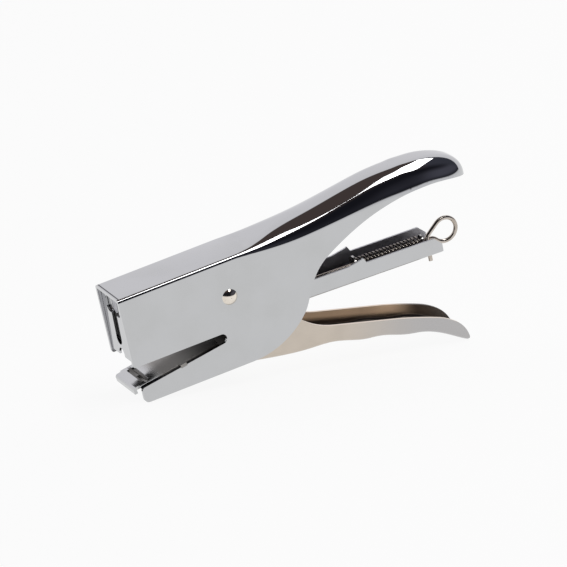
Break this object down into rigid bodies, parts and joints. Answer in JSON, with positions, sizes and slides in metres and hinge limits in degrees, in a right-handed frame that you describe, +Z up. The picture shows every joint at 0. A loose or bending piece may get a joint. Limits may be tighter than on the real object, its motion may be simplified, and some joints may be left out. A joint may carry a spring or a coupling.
{
  "type": "plier stapler",
  "caption": "Hand-held plier stapler with a pressed chrome upper handle and jaw, a sprung lower handle and a pivoting staple magazine drawn open by a wire ring.",
  "frame": {"origin": "middle of the bounding box, on the ground plane", "axes": "+X towards the rear of the handles, +Y across the tool, +Z up, standing on the jaw's corner and the lower handle's tip"},
  "size_m": [0.143, 0.024, 0.0725],
  "materials": {
    "chrome_sheet": "bright chrome plate",
    "nickel_sheet": "satin champagne nickel plate",
    "rivet_nickel": "polished nickel",
    "steel": "plain rolled steel",
    "wire": "drawn wire, warm grey",
    "spring_steel": "dark spring wire",
    "staples": "galvanised wire"
  },
  "bodies": {
    "body": {"body_shell": "chrome_sheet", "anvil": "chrome_sheet", "main_rivet": "rivet_nickel", "pivot_spacer": "steel", "return_spring": "spring_steel"},
    "lever": {"lower_handle": "nickel_sheet", "crosshead": "steel"},
    "magazine": {"magazine_channel": "chrome_sheet", "front_plate": "chrome_sheet", "staple_strip": "staples", "magazine_spring": "spring_steel"},
    "driver": {"driver_blade": "steel"},
    "rod": {"loading_rod": "wire", "spring_washer": "steel", "pusher_spring": "spring_steel"},
    "pusher": {"pusher": "steel"}
  },
  "joints": [
    {"name": "lever_swing", "type": "hinge", "parent": "body", "child": "lever", "pos_m": [-0.02724, 0, 0.03466], "axis": [0, -1, 0], "range_deg": [0, 22.4], "stiffness_Nm_per_rad": 1, "springref_deg": -40.11, "deforming": ["return_spring", "magazine_spring"]},
    {"name": "magazine_swing", "type": "hinge", "parent": "body", "child": "magazine", "pos_m": [-0.02724, 0, 0.03466], "axis": [0, -1, 0], "range_deg": [0, 12.4]},
    {"name": "driver_slide", "type": "slide", "parent": "magazine", "child": "driver", "axis": [0.1562, 0, -0.9877], "range_m": [0, 0.00695]},
    {"name": "rod_slide", "type": "slide", "parent": "magazine", "child": "rod", "axis": [0.9877, 0, 0.1562], "range_m": [0, 0.096]},
    {"name": "pusher_slide", "type": "slide", "parent": "rod", "child": "pusher", "axis": [0.9877, 0, 0.1562], "range_m": [0, 0.014], "stiffness_N_per_m": 100, "springref_m": -0.02, "deforming": ["pusher_spring"]}
  ],
  "couplings": [
    {"joint": "magazine_swing", "follows": "lever_swing", "ratio": 0.5535},
    {"joint": "driver_slide", "follows": "lever_swing", "m_per_rad": 0.01777}
  ]
}
